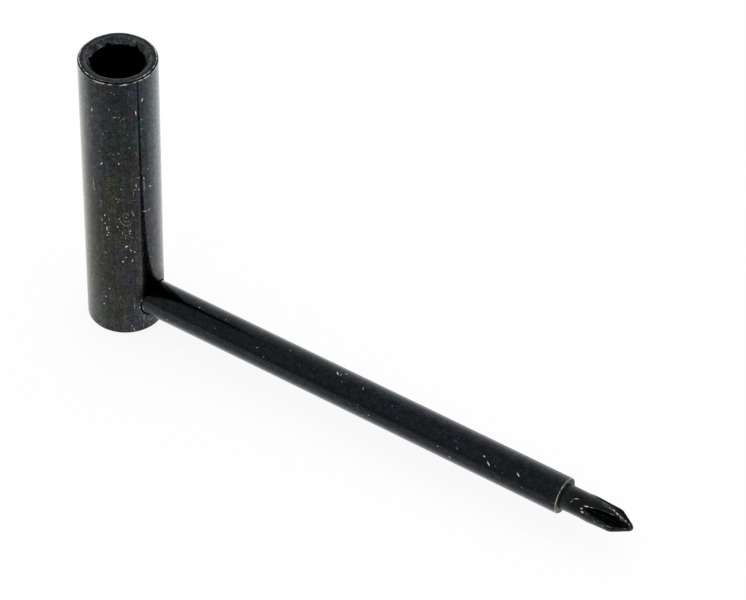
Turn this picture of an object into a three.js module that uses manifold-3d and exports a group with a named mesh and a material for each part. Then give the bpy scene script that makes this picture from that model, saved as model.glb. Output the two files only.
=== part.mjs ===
// Truss rod wrench: a socket barrel on end, a handle rod pressed square into its
// foot, and a cross-point bit pressed into the far end of the rod.
// Millimetres. The origin is the centre of the barrel's foot, +Z runs up the
// barrel to the mouth of its socket, and +X runs out along the rod.

import * as THREE from 'three';
import { mergeVertices, toCreasedNormals } from 'three/addons/utils/BufferGeometryUtils.js';
import Module from 'manifold-3d';

const wasm = await Module();
wasm.setup();

const degree = Math.PI / 180;
const quarterTurn = Math.PI / 2;

// Facets round each piece, in multiples of four so that flats face the axes.
const barrelSides = 72;
const rodSides = 60;
const bitSides = 48;
const cutterSides = 96;
// Edges that turn by more than this are drawn sharp.
const smoothingAngle = 20 * degree;

// How far every cutting shape runs past the surface that it cuts.
const overrun = 1;
// Radial and end clearance of both pressed joints.
const pressClearance = 0.05;

// Socket: a hexagon for a 5/16 inch nut, over a round drilled pilot hole.
const hexSides = 6;
const hexAcrossFlats = 8;
const hexDepth = 14;
const hexCornerAngle = 26.25 * degree;
const pilotUndersize = 0.12;
const pilotDepth = 22;
const drillPointHalfAngle = 59 * degree;

// Barrel: its wall is measured at the corners of the hexagon.
const cornerWall = 1.631;
const barrelLength = 52.7;
const footBreak = 0.2;
const rimBreak = 0.22;
const rimLand = 0.94;
const leadInSlope = 48 * degree;
// Below the lead-in the socket is opened out round, past the middles of its flats.
const mouthRelief = 0.32;
const mouthReliefDepth = 2;

// Handle rod: the steel left under it, its reach from the barrel's axis, and
// the length of it that is held in the barrel.
const rodRadius = 3;
const footWall = 2.47;
const rodReach = 83.6;
const rodSeat = 9.2;
const rodLeadIn = 0.4;
// The mouth of the cross hole is opened out by this much round the rod.
const crossHoleRelief = 0.22;
const crossHoleReliefDepth = 1.6;
const rodEndBreak = 0.12;
const rodEndWall = 0.925;

// Bit: how far it stands out of the rod, and how far its stem goes in.
const bitReach = 12;
const bitStem = 9;
const bitStemBreak = 0.3;
const bitTurn = 6 * degree;

// Point of the bit: a slight swelling where the flutes begin, a worn shoulder,
// and a cone down to a blunt nose.
const wingLength = 8.7;
const wingSwelling = 0.09;
const wingFade = 0.03;
const swellingPeakShare = 0.3;
const shoulderLength = 0.5;
const shoulderDrop = 0.12;
const pointHalfAngle = 30 * degree;
const noseRadius = 0.62;
const noseLength = 0.36;
const noseTipShare = 0.45;

// Flutes: V grooves whose roots close in towards the nose and run out to the
// surface in the curve of the cutting wheel.
const fluteCount = 4;
const fluteHalfAngle = 43 * degree;
const fluteRootSlope = 7.5 * degree;
const fluteRootShare = 0.52;
const fluteStraight = 5.6;
const fluteWheelRadius = 5.6;

// Sizes that follow from those above.
const hexCornerRadius = hexAcrossFlats / 2 / Math.cos(Math.PI / hexSides);
const pilotRadius = hexAcrossFlats / 2 - pilotUndersize;
const barrelRadius = hexCornerRadius + cornerWall;
const leadInRadius = barrelRadius - rimBreak - rimLand;
const mouthReliefRadius = hexAcrossFlats / 2 + mouthRelief;
const rodAxisHeight = footWall + rodRadius;
const rodInnerEnd = barrelRadius - rodSeat;
const bitRadius = rodRadius - rodEndWall;

// A solid of revolution about +Z from a profile of [radius, height] points
// that starts and ends on the axis.
function revolve(profile, sides) {
  const points = profile.map(([radius, height]) => new THREE.Vector2(radius, height));
  return new THREE.LatheGeometry(points, sides).rotateX(quarterTurn);
}

function cylinder(radius, low, high, sides) {
  return revolve([[0, low], [radius, low], [radius, high], [0, high]], sides);
}

function toSolid(geometry) {
  const bare = geometry.clone();
  bare.deleteAttribute('normal');
  bare.deleteAttribute('uv');
  const merged = mergeVertices(bare);
  const corners = merged.index.array;
  const kept = [];
  for (let i = 0; i < corners.length; i += 3) {
    const [a, b, c] = corners.slice(i, i + 3);
    if (a !== b && b !== c && c !== a) kept.push(a, b, c);
  }
  return new wasm.Manifold(new wasm.Mesh({
    numProp: 3,
    vertProperties: Float32Array.from(merged.attributes.position.array),
    triVerts: Uint32Array.from(kept),
  }));
}

function toMesh(name, solid, material) {
  const { vertProperties, triVerts } = solid.getMesh();
  const geometry = new THREE.BufferGeometry();
  geometry.setAttribute('position', new THREE.BufferAttribute(vertProperties, 3));
  geometry.setIndex(new THREE.BufferAttribute(triVerts, 1));
  const mesh = new THREE.Mesh(toCreasedNormals(geometry, smoothingAngle), material);
  mesh.name = name;
  return mesh;
}

function blackenedSteel(color, roughness) {
  return new THREE.MeshStandardMaterial({ color, roughness, metalness: 0.85 });
}

// The barrel's outside, with its foot and rim edges broken.
function barrelBlank() {
  return revolve([
    [0, 0],
    [barrelRadius - footBreak, 0],
    [barrelRadius, footBreak],
    [barrelRadius, barrelLength - rimBreak],
    [barrelRadius - rimBreak, barrelLength],
    [0, barrelLength],
  ], barrelSides);
}

// The countersink that leads the nut into the hexagon.
function leadInCutter() {
  const spread = overrun / Math.tan(leadInSlope);
  const top = barrelLength + overrun;
  return revolve([
    [0, barrelLength - leadInRadius * Math.tan(leadInSlope)],
    [leadInRadius + spread, top],
    [0, top],
  ], barrelSides);
}

function mouthReliefCutter() {
  const floor = barrelLength - mouthReliefDepth;
  return cylinder(mouthReliefRadius, floor, barrelLength + overrun, barrelSides);
}

function hexCutter() {
  const floor = barrelLength - hexDepth;
  const turn = hexCornerAngle - Math.PI / hexSides;
  return cylinder(hexCornerRadius, floor, barrelLength + overrun, hexSides).rotateZ(turn);
}

// The drilled hole below the hexagon, with the cone of the drill's point. It
// gives room for the end of the threaded rod that stands out of the nut.
function pilotCutter() {
  const floor = barrelLength - pilotDepth;
  const top = barrelLength + overrun;
  return revolve([
    [0, floor - pilotRadius / Math.tan(drillPointHalfAngle)],
    [pilotRadius, floor],
    [pilotRadius, top],
    [0, top],
  ], barrelSides);
}

// The flat-bottomed cross hole that grips the rod, wider at its mouth.
function crossHoleCutter() {
  const grip = rodRadius + pressClearance;
  const relief = rodRadius + crossHoleRelief;
  const floor = rodInnerEnd - pressClearance;
  const step = barrelRadius - crossHoleReliefDepth;
  const mouth = barrelRadius + overrun;
  const hole = revolve([
    [0, floor],
    [grip, floor],
    [grip, step],
    [relief, step],
    [relief, mouth],
    [0, mouth],
  ], rodSides);
  return hole.rotateY(quarterTurn).translate(0, 0, rodAxisHeight);
}

function buildBarrel() {
  const solid = toSolid(barrelBlank())
    .subtract(toSolid(leadInCutter()))
    .subtract(toSolid(mouthReliefCutter()))
    .subtract(toSolid(pilotCutter()))
    .subtract(toSolid(hexCutter()))
    .subtract(toSolid(crossHoleCutter()));
  return toMesh('socket_barrel', solid, blackenedSteel(0x34363a, 0.34));
}

// The rod along +Z from the barrel's axis, bored at its far end for the bit.
function buildRod() {
  const blank = revolve([
    [0, rodInnerEnd],
    [rodRadius - rodLeadIn, rodInnerEnd],
    [rodRadius, rodInnerEnd + rodLeadIn],
    [rodRadius, rodReach - rodEndBreak],
    [rodRadius - rodEndBreak, rodReach],
    [0, rodReach],
  ], rodSides);
  const boreFloor = rodReach - bitStem - pressClearance;
  const bore = cylinder(bitRadius + pressClearance, boreFloor, rodReach + overrun, bitSides);
  const solid = toSolid(blank).subtract(toSolid(bore));
  return toMesh('handle_rod', solid, blackenedSteel(0x202327, 0.3));
}

// The bit before its flutes are cut, along +Z from the rod's end face.
function bitBlank() {
  const wingRadius = bitRadius + wingFade;
  const coneRadius = wingRadius - shoulderDrop;
  const noseStart = bitReach - noseLength;
  const coneStart = noseStart - (coneRadius - noseRadius) / Math.tan(pointHalfAngle);
  const shoulderStart = coneStart - shoulderLength;
  const wingStart = bitReach - wingLength;
  const swellingPeak = wingStart + (shoulderStart - wingStart) * swellingPeakShare;
  return revolve([
    [0, -bitStem],
    [bitRadius - bitStemBreak, -bitStem],
    [bitRadius, -bitStem + bitStemBreak],
    [bitRadius, wingStart],
    [bitRadius + wingSwelling, swellingPeak],
    [wingRadius, shoulderStart],
    [coneRadius, coneStart],
    [noseRadius, noseStart],
    [noseRadius * noseTipShare, bitReach],
    [0, bitReach],
  ], bitSides);
}

// The wheel and the straight groove that follows it towards the nose. Both
// start at the point where the groove's root leaves the wheel's curve.
function fluteCutters() {
  const depth = bitRadius + overrun;
  const halfWidth = depth * Math.tan(fluteHalfAngle);
  const shoulder = fluteWheelRadius - depth;
  const wheel = new THREE.LatheGeometry([
    new THREE.Vector2(0, -halfWidth),
    new THREE.Vector2(shoulder, -halfWidth),
    new THREE.Vector2(fluteWheelRadius, 0),
    new THREE.Vector2(shoulder, halfWidth),
    new THREE.Vector2(0, halfWidth),
  ], cutterSides).translate(fluteWheelRadius, 0, 0);
  const section = new THREE.Shape([
    new THREE.Vector2(0, 0),
    new THREE.Vector2(depth, -halfWidth),
    new THREE.Vector2(depth, halfWidth),
  ]);
  const length = fluteStraight + overrun;
  const groove = new THREE.ExtrudeGeometry(section, { depth: length, bevelEnabled: false });
  return [wheel, groove];
}

function buildBit() {
  const rootAtNose = noseRadius * fluteRootShare;
  const rootAtWheel = rootAtNose + fluteStraight * Math.tan(fluteRootSlope);
  const wheelHeight = bitReach - fluteStraight;
  let solid = toSolid(bitBlank());
  for (const cutter of fluteCutters()) {
    cutter.rotateY(-fluteRootSlope).translate(rootAtWheel, 0, wheelHeight);
    for (let i = 0; i < fluteCount; i += 1) {
      const turn = (i + 0.5) * 2 * Math.PI / fluteCount;
      solid = solid.subtract(toSolid(cutter.clone().rotateZ(turn)));
    }
  }
  return toMesh('phillips_bit', solid, blackenedSteel(0x17191b, 0.28));
}

// The rod and the bit share one line, square to the barrel.
function buildRodLine() {
  const line = new THREE.Group();
  line.position.z = rodAxisHeight;
  line.rotation.y = quarterTurn;
  const bit = buildBit();
  bit.position.z = rodReach;
  bit.rotation.z = bitTurn;
  line.add(buildRod(), bit);
  return line;
}

const wrench = new THREE.Group();
wrench.add(buildBarrel(), buildRodLine());

export default wrench;
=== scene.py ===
import math

import bmesh
import bpy
import numpy as np
from mathutils import Matrix, Vector


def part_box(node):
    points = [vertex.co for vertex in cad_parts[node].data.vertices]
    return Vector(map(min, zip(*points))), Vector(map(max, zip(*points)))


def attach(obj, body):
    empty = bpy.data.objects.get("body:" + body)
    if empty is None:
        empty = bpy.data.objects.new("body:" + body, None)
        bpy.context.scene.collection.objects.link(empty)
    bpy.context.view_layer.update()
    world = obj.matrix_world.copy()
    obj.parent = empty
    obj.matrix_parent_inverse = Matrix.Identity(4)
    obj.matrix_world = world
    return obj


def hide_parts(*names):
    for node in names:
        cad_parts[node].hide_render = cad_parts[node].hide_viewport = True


# Truss rod wrench: an upright socket barrel, a handle rod pressed square into its
# foot, and a cross-point bit in the rod's far end. Each piece is a finer mesh that
# stands for one CAD node. Sizes are in millimetres and become metres in the meshes.

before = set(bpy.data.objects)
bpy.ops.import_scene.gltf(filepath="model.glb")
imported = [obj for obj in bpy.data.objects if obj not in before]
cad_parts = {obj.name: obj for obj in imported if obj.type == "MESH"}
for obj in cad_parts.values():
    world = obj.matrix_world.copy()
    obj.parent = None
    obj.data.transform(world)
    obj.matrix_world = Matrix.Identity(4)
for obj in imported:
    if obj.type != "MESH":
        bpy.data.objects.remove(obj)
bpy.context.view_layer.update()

MM = 0.001


def box_mm(node):
    low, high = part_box(node)
    return low / MM, high / MM


_, barrel_high = box_mm("socket_barrel")
rod_low, rod_high = box_mm("handle_rod")
bit_low, bit_high = box_mm("phillips_bit")

# Barrel and socket.
BARREL_SIDES = 288
BARREL_RADIUS = barrel_high.y
BARREL_LENGTH = barrel_high.z
FOOT_BREAK = 0.2
RIM_BREAK = 0.22
RIM_LAND = 0.94
LEAD_IN_SLOPE = math.radians(48)
LEAD_IN_RADIUS = BARREL_RADIUS - RIM_BREAK - RIM_LAND
HEX_CORNERS = 6
HEX_APOTHEM = 4.0
HEX_CORNER_ANGLE = math.radians(26.25)
HEX_DEPTH = 14.0
MOUTH_RELIEF_RADIUS = 4.32
MOUTH_RELIEF_DEPTH = 2.0
PILOT_RADIUS = 3.88
PILOT_DEPTH = 22.0
DRILL_POINT_HALF_ANGLE = math.radians(59)

# Rod, and the clearance round both pressed joints.
ROD_SIDES = 192
ROD_RADIUS = rod_high.y
ROD_HEIGHT = (rod_low.z + rod_high.z) / 2
ROD_INNER_END = rod_low.x
ROD_REACH = rod_high.x
ROD_LEAD_IN = 0.4
ROD_END_BREAK = 0.12
PRESS_CLEARANCE = 0.05
CROSS_HOLE_RELIEF = 0.22
CROSS_HOLE_RELIEF_DEPTH = 1.6
CUTTER_OVERRUN = 1.0

# Bit: lengths run from the rod's end face.
BIT_RADIUS = 2.075
BIT_STEM = ROD_REACH - bit_low.x
BIT_REACH = bit_high.x - ROD_REACH
BIT_STEM_BREAK = 0.3
BIT_TURN = math.radians(6)
WING_LENGTH = 8.7
WING_SWELLING = 0.09
WING_FADE = 0.03
SWELLING_PEAK_SHARE = 0.3
SHOULDER_LENGTH = 0.5
SHOULDER_DROP = 0.12
POINT_HALF_ANGLE = math.radians(30)
NOSE_RADIUS = 0.62
NOSE_LENGTH = 0.36
NOSE_TIP_SHARE = 0.45
FLUTE_COUNT = 4
FLUTE_HALF_ANGLE = math.radians(43)
FLUTE_ROOT_SLOPE = math.radians(7.5)
FLUTE_ROOT = 0.3224
FLUTE_STRAIGHT = 5.6
FLUTE_WHEEL_RADIUS = 5.6
FLUTE_ROOT_ROUND = 0.05
WING_EDGE_ROUND = 0.14
# The mesh's columns on a flute's wall and on the crown of the wing beside it.
LEAST_WING_EDGE = math.radians(9)
FLUTE_WALL_SHARES = [0, 0.01, 0.02, 0.035, 0.05, 0.07, 0.1, 0.15, 0.2, 0.27, 0.35,
                     0.43, 0.52, 0.61, 0.7, 0.78, 0.85, 0.9, 0.94, 0.97, 0.985, 1]
WING_CROWN_SHARES = [0.03, 0.07, 0.13, 0.22, 0.35, 0.5, 0.65, 0.8, 1]

# Meshing: steps in a rounded corner, how much further out than the rounding its
# support loops lie, the angle over which an edge is drawn sharp, the size of the
# roundings, and the spacing of the rings with the margins at the ends of a run.
CORNER_STEPS = 4
SUPPORT_SHARE = 1.5
SHARP_ANGLE = math.radians(32)
WALL_STEP = 0.5
WALL_MARGIN = 0.5
BARREL_ROUND = 0.08
ROD_ROUND = 0.04
BIT_ROUND = 0.05
STATION_STEP = 0.06
FLUTE_MARGIN = 0.6
TIP_MARGIN = 0.03
BISECTIONS = 30
WELD = 0.001 * MM


def corner_arc(before, corner, after, reach):
    """Points that round one corner of a profile, with a support point on each side."""
    corner = Vector(corner)
    into = (Vector(before) - corner).normalized() * reach
    out = (Vector(after) - corner).normalized() * reach
    points = [corner + into * SUPPORT_SHARE]
    for step in range(CORNER_STEPS + 1):
        t = step / CORNER_STEPS
        points.append(corner + into * (1 - t) ** 2 + out * t ** 2)
    points.append(corner + out * SUPPORT_SHARE)
    return [tuple(point) for point in points]


def rounded(profile, reach):
    """A profile of (radius, height) points with every inner corner rounded."""
    points = [profile[0]]
    for before, corner, after in zip(profile, profile[1:], profile[2:]):
        points += corner_arc(before, corner, after, reach)
    return points + [profile[-1]]


def with_steps(profile):
    """The profile with more points along its straight walls."""
    points = [profile[0]]
    for (radius, low), (next_radius, high) in zip(profile, profile[1:]):
        if math.isclose(radius, next_radius, rel_tol=1e-6):
            points += [(radius, height) for height in split(low, high, WALL_STEP)]
        points.append((next_radius, high))
    return points


def split(low, high, length):
    """Heights between low and high, about length apart, without the two ends."""
    count = max(1, round(abs(high - low) / length))
    return [low + (high - low) * i / count for i in range(1, count)]


def add_object(name, data):
    made = bpy.data.objects.new(name, data)
    bpy.context.scene.collection.objects.link(made)
    return made


def mesh_object(name, vertices, faces):
    mesh = bpy.data.meshes.new(name)
    mesh.from_pydata([Vector(v) * MM for v in vertices], [], faces)
    mesh.validate()
    return add_object(name, mesh)


def weld(piece):
    """Joins points that fall together, which drops the faces between them."""
    shape = bmesh.new()
    shape.from_mesh(piece.data)
    bmesh.ops.remove_doubles(shape, verts=shape.verts, dist=WELD)
    shape.to_mesh(piece.data)
    shape.free()


def shade(piece):
    piece.data.shade_smooth()
    piece.data.set_sharp_from_angle(angle=SHARP_ANGLE)


def skin(name, first, rings, last):
    """A closed mesh from a pole, rings of as many points each, and another pole."""
    sides = len(rings[0])
    vertices = [first] + [point for ring in rings for point in ring] + [last]
    faces = []
    for i in range(sides):
        j = (i + 1) % sides
        faces.append((0, 1 + j, 1 + i))
        for level in range(len(rings) - 1):
            low = 1 + level * sides
            high = low + sides
            faces.append((low + i, low + j, high + j, high + i))
        top = 1 + (len(rings) - 1) * sides
        faces.append((len(vertices) - 1, top + i, top + j))
    return mesh_object(name, vertices, faces)


def turn_angles(sides):
    return [2 * math.pi * i / sides for i in range(sides)]


def upright_ring(radius, height):
    """A ring about the barrel's axis. Radius and height may depend on the angle."""
    points = []
    for angle in turn_angles(BARREL_SIDES):
        r = radius(angle) if callable(radius) else radius
        z = height(r) if callable(height) else height
        points.append((r * math.cos(angle), r * math.sin(angle), z))
    return points


def rod_ring(radius, along, sides):
    """A ring about the rod's axis, from +Y towards +Z."""
    return [
        (along, radius * math.cos(angle), ROD_HEIGHT + radius * math.sin(angle))
        for angle in turn_angles(sides)
    ]


def hex_radius(angle):
    """How far the hexagon's wall is from the axis in one direction."""
    sector = 2 * math.pi / HEX_CORNERS
    from_corner = (angle - HEX_CORNER_ANGLE) % sector
    return HEX_APOTHEM / math.cos(from_corner - sector / 2)


def mouth_radius(angle):
    """The same where the mouth is opened out round, past the middles of the flats."""
    return max(hex_radius(angle), MOUTH_RELIEF_RADIUS)


def lead_in_height(radius):
    return BARREL_LENGTH - (LEAD_IN_RADIUS - radius) * math.tan(LEAD_IN_SLOPE)


def barrel_outside():
    """The barrel's profile from the middle of its foot to the lead-in's edge."""
    foot = BARREL_RADIUS - FOOT_BREAK
    rim = BARREL_RADIUS - RIM_BREAK
    corners = [
        (0, 0),
        (foot, 0),
        (BARREL_RADIUS, FOOT_BREAK),
        (BARREL_RADIUS, BARREL_LENGTH - RIM_BREAK),
        (rim, BARREL_LENGTH),
        (LEAD_IN_RADIUS, BARREL_LENGTH),
        (LEAD_IN_RADIUS - RIM_BREAK, lead_in_height(LEAD_IN_RADIUS - RIM_BREAK)),
    ]
    return rounded(corners, BARREL_ROUND)[1:]


def build_barrel():
    rings = []
    wall_low = FOOT_BREAK + WALL_MARGIN
    wall_high = BARREL_LENGTH - RIM_BREAK - WALL_MARGIN
    wall = [wall_low] + split(wall_low, wall_high, WALL_STEP) + [wall_high]
    for radius, height in barrel_outside():
        if wall and height > wall_low:
            rings += [upright_ring(BARREL_RADIUS, z) for z in wall]
            wall = []
        rings.append(upright_ring(radius, height))
    relief_floor = BARREL_LENGTH - MOUTH_RELIEF_DEPTH
    hex_floor = BARREL_LENGTH - HEX_DEPTH
    pilot_floor = BARREL_LENGTH - PILOT_DEPTH
    socket = [
        (mouth_radius, lead_in_height),
        (mouth_radius, relief_floor),
        (hex_radius, relief_floor),
        (hex_radius, hex_floor),
        (PILOT_RADIUS, hex_floor),
        (PILOT_RADIUS, pilot_floor),
    ]
    rings += [upright_ring(radius, height) for radius, height in socket]
    apex = pilot_floor - PILOT_RADIUS / math.tan(DRILL_POINT_HALF_ANGLE)
    barrel = skin("wrench_barrel", (0, 0, 0), rings, (0, 0, apex))
    weld(barrel)
    cut_cross_hole(barrel)
    shade(barrel)
    set_wall_normals(barrel.data)
    return barrel


def set_wall_normals(mesh):
    """Exact normals on the barrel's wall, also where the cross hole cuts its faces."""
    normals = [Vector((0, 0, 0))] * len(mesh.loops)
    wall_radius = BARREL_RADIUS * MM
    tolerance = wall_radius / 1000
    for face in mesh.polygons:
        places = [mesh.vertices[v].co for v in face.vertices]
        if all(abs(place.xy.length - wall_radius) < tolerance for place in places):
            for loop, place in zip(face.loop_indices, places):
                normals[loop] = Vector((place.x, place.y, 0)).normalized()
    mesh.normals_split_custom_set(normals)


def cut_cross_hole(barrel):
    """The flat-bottomed hole that grips the rod, wider at its mouth."""
    grip = ROD_RADIUS + PRESS_CLEARANCE
    relief = ROD_RADIUS + CROSS_HOLE_RELIEF
    floor = ROD_INNER_END - PRESS_CLEARANCE
    ledge = BARREL_RADIUS - CROSS_HOLE_RELIEF_DEPTH
    mouth = BARREL_RADIUS + CUTTER_OVERRUN
    profile = [(grip, floor), (grip, ledge), (relief, ledge), (relief, mouth)]
    rings = [rod_ring(radius, x, ROD_SIDES) for radius, x in profile]
    cutter = skin("cutter", (floor, 0, ROD_HEIGHT), rings, (mouth, 0, ROD_HEIGHT))
    cut = barrel.modifiers.new("cross_hole", "BOOLEAN")
    cut.operation = "DIFFERENCE"
    cut.solver = "EXACT"
    cut.object = cutter
    bpy.context.view_layer.update()
    shape = barrel.evaluated_get(bpy.context.evaluated_depsgraph_get())
    mesh = bpy.data.meshes.new_from_object(shape)
    barrel.modifiers.clear()
    barrel.data = mesh
    bpy.data.objects.remove(cutter)


def build_rod():
    bore = BIT_RADIUS + PRESS_CLEARANCE
    bore_floor = ROD_REACH - BIT_STEM - PRESS_CLEARANCE
    corners = [
        (0, ROD_INNER_END),
        (ROD_RADIUS - ROD_LEAD_IN, ROD_INNER_END),
        (ROD_RADIUS, ROD_INNER_END + ROD_LEAD_IN),
        (ROD_RADIUS, ROD_REACH - ROD_END_BREAK),
        (ROD_RADIUS - ROD_END_BREAK, ROD_REACH),
        (bore, ROD_REACH),
        (bore, bore_floor),
        (0, bore_floor),
    ]
    profile = with_steps(rounded(corners, ROD_ROUND)[1:-1])
    rings = [rod_ring(radius, along, ROD_SIDES) for radius, along in profile]
    first = (ROD_INNER_END, 0, ROD_HEIGHT)
    rod = skin("wrench_rod", first, rings, (bore_floor, 0, ROD_HEIGHT))
    shade(rod)
    return rod


def bit_profile():
    """The bit's profile before its flutes: (radius, distance from the rod's end)."""
    wing = BIT_RADIUS + WING_FADE
    cone = wing - SHOULDER_DROP
    nose_start = BIT_REACH - NOSE_LENGTH
    cone_start = nose_start - (cone - NOSE_RADIUS) / math.tan(POINT_HALF_ANGLE)
    shoulder = cone_start - SHOULDER_LENGTH
    wing_start = BIT_REACH - WING_LENGTH
    peak = wing_start + (shoulder - wing_start) * SWELLING_PEAK_SHARE
    return [
        (0, -BIT_STEM),
        (BIT_RADIUS - BIT_STEM_BREAK, -BIT_STEM),
        (BIT_RADIUS, BIT_STEM_BREAK - BIT_STEM),
        (BIT_RADIUS, wing_start),
        (BIT_RADIUS + WING_SWELLING, peak),
        (wing, shoulder),
        (cone, cone_start),
        (NOSE_RADIUS, nose_start),
        (NOSE_RADIUS * NOSE_TIP_SHARE, BIT_REACH),
        (0, BIT_REACH),
    ]


def bit_blank_radius(along):
    """The radius of the bit before its flutes, at a distance from the barrel's axis."""
    radii = [radius for radius, _ in bit_profile()]
    heights = [height for _, height in bit_profile()]
    return np.interp(along - ROD_REACH, heights, radii)


def flute_clearance(out, aside, along):
    """Positive where a flute's cutter has passed. The flute's root runs straight
    near the nose and follows the round of the cutting wheel towards the rod."""
    root_at_wheel = FLUTE_ROOT + FLUTE_STRAIGHT * math.tan(FLUTE_ROOT_SLOPE)
    d_out = out - root_at_wheel
    d_along = along - (BIT_REACH - FLUTE_STRAIGHT)
    cos_s = math.cos(FLUTE_ROOT_SLOPE)
    sin_s = math.sin(FLUTE_ROOT_SLOPE)
    depth = d_out * cos_s + d_along * sin_s
    run = d_along * cos_s - d_out * sin_s
    side = np.sqrt(aside ** 2 + FLUTE_ROOT_ROUND ** 2) / math.tan(FLUTE_HALF_ANGLE)
    wheel = FLUTE_WHEEL_RADIUS - side - np.hypot(depth - FLUTE_WHEEL_RADIUS, run)
    return np.where(run >= 0, depth - side, wheel)


def flute_radius(turn, along):
    """How far out the metal between the flutes reaches, by bisection."""
    low = np.zeros_like(turn)
    high = np.full_like(turn, 2 * BIT_RADIUS)
    for _ in range(BISECTIONS):
        middle = (low + high) / 2
        cut = flute_clearance(middle * np.cos(turn), middle * np.sin(turn), along) > 0
        high = np.where(cut, middle, high)
        low = np.where(cut, low, middle)
    return low


def wing_edge(blank, along):
    """The angle from a flute's middle at which its wall meets the outside."""
    low = np.zeros_like(blank)
    high = np.full_like(blank, math.pi / FLUTE_COUNT)
    for _ in range(BISECTIONS):
        middle = (low + high) / 2
        inside = flute_radius(middle, along) < blank
        low = np.where(inside, middle, low)
        high = np.where(inside, high, middle)
    return low


def flute_columns(blank, along):
    """Angles from a flute's middle to the middle of the next wing, for each ring.
    They crowd at the wing's edge, so that the mesh follows it."""
    root = np.minimum(flute_radius(np.zeros_like(blank), along), blank)
    edge = np.maximum(wing_edge(blank, along), LEAST_WING_EDGE)
    run_out = blank * np.cos(edge) - root
    run_aside = blank * np.sin(edge)
    wall = [
        np.arctan2(run_aside * share, root + run_out * share)
        for share in FLUTE_WALL_SHARES
    ]
    crown = [edge + (math.pi / FLUTE_COUNT - edge) * share for share in WING_CROWN_SHARES]
    return np.stack(wall + crown, axis=1)


def bit_stations():
    """Distances along the bit, with its blank's radius at each."""
    profile = rounded(bit_profile(), BIT_ROUND)[1:-1]
    radii = np.array([radius for radius, _ in profile])
    heights = np.array([height for _, height in profile])
    start = BIT_REACH - WING_LENGTH - FLUTE_MARGIN
    fine = np.array(split(start, BIT_REACH - TIP_MARGIN, STATION_STEP))
    along = np.concatenate([heights, fine])
    blank = np.concatenate([radii, np.interp(fine, heights, radii)])
    order = np.argsort(along, kind="stable")
    return along[order], blank[order]


def build_bit():
    along, blank = bit_stations()
    half = flute_columns(blank, along)
    turn = np.concatenate([-half[:, -2:0:-1], half], axis=1)
    outer = blank[:, None] + 0 * turn
    cut = flute_radius(turn, along[:, None] + 0 * turn)
    nearness = np.clip(1 - np.abs(outer - cut) / WING_EDGE_ROUND, 0, 1)
    radius = np.minimum(outer, cut) - nearness ** 2 * WING_EDGE_ROUND / 4
    sector = 2 * math.pi / FLUTE_COUNT
    middles = [BIT_TURN + sector * (i + 0.5) for i in range(FLUTE_COUNT)]
    angle = np.concatenate([turn + middle for middle in middles], axis=1)
    radius = np.tile(radius, FLUTE_COUNT)
    rings = [
        [(ROD_REACH + x, b, ROD_HEIGHT + c) for b, c in zip(r * np.cos(a), r * np.sin(a))]
        for x, r, a in zip(along, radius, angle)
    ]
    first = (ROD_REACH - BIT_STEM, 0, ROD_HEIGHT)
    last = (ROD_REACH + BIT_REACH, 0, ROD_HEIGHT)
    bit = skin("wrench_bit", first, rings, last)
    edge = bit.data.attributes.new("edge", "FLOAT", "POINT")
    worn = np.tile(nearness, FLUTE_COUNT).ravel()
    edge.data.foreach_set("value", np.concatenate([[0], worn, [0]]))
    shade(bit)
    return bit


# The camera stands where the photograph was taken from. The scratches that were read
# from the photograph come onto the steel along the same lines of sight.
CAMERA_PLACE = Vector((256.197, -328.956, 394.581))
CAMERA_RIGHT = Vector((0.832829, 0.553073, 0.022500))
CAMERA_DOWN = Vector((0.393237, -0.562560, -0.727249))
CAMERA_LENS = 168.908
CAMERA_SENSOR = 36.0
PHOTO_WIDTH = 746
PHOTO_HEIGHT = 600
# A reading in whole pixels is taken to mean the middle of that pixel.
PIXEL_MIDDLE = 0.5
# How many times the bit's radius is corrected where a line of sight meets it, what is
# added to a scratch's length for its soft ends, and the step that its turn is put in.
SIGHT_ROUNDS = 12
SCRATCH_ENDS = 0.05
TURN_STEP = 5


def camera_turn():
    right = CAMERA_RIGHT.normalized()
    back = right.cross(-CAMERA_DOWN).normalized()
    return Matrix((right, back.cross(right), back)).transposed()


def seen_on(piece, x, y, radius_at):
    """The place on a piece that the photograph shows at a pixel. Its third coordinate
    runs along the piece, and the other two lie across it, as in unrolled."""
    focus = PHOTO_WIDTH * CAMERA_LENS / CAMERA_SENSOR
    right = x + PIXEL_MIDDLE - PHOTO_WIDTH / 2
    down = y + PIXEL_MIDDLE - PHOTO_HEIGHT / 2
    sight = camera_turn() @ Vector((right, -down, -focus))
    eye = CAMERA_PLACE
    if piece.name != "wrench_barrel":
        eye = (eye - Vector((0, 0, ROD_HEIGHT))).yzx
        sight = sight.yzx
    a = sight.xy.dot(sight.xy)
    b = eye.xy.dot(sight.xy)
    radius = radius_at(ROD_REACH)
    for _ in range(SIGHT_ROUNDS):
        c = eye.xy.dot(eye.xy) - radius ** 2
        place = eye - sight * ((b + math.sqrt(max(b ** 2 - a * c, 0))) / a)
        radius = (radius + radius_at(place.z)) / 2
    return place


def scratch(piece, mark, radius_at, pixels_per_mm):
    """A scratch's angle, place along the piece, length, width, turn and brightness,
    rounded to what the reading is good for."""
    x, y, end_x, end_y, width, strength = mark
    middle = seen_on(piece, (x + end_x) / 2, (y + end_y) / 2, radius_at)
    run = seen_on(piece, end_x, end_y, radius_at) - seen_on(piece, x, y, radius_at)
    angle = math.atan2(middle.y, middle.x)
    aside = run.y * math.cos(angle) - run.x * math.sin(angle)
    width = width / pixels_per_mm
    length = max(math.hypot(aside, run.z), width) + SCRATCH_ENDS
    turn = round(math.degrees(math.atan2(run.z, aside)) / TURN_STEP) * TURN_STEP % 180
    return round(math.degrees(angle)), round(middle.z, 1), round(length, 1), round(width, 2), turn, strength


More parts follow.
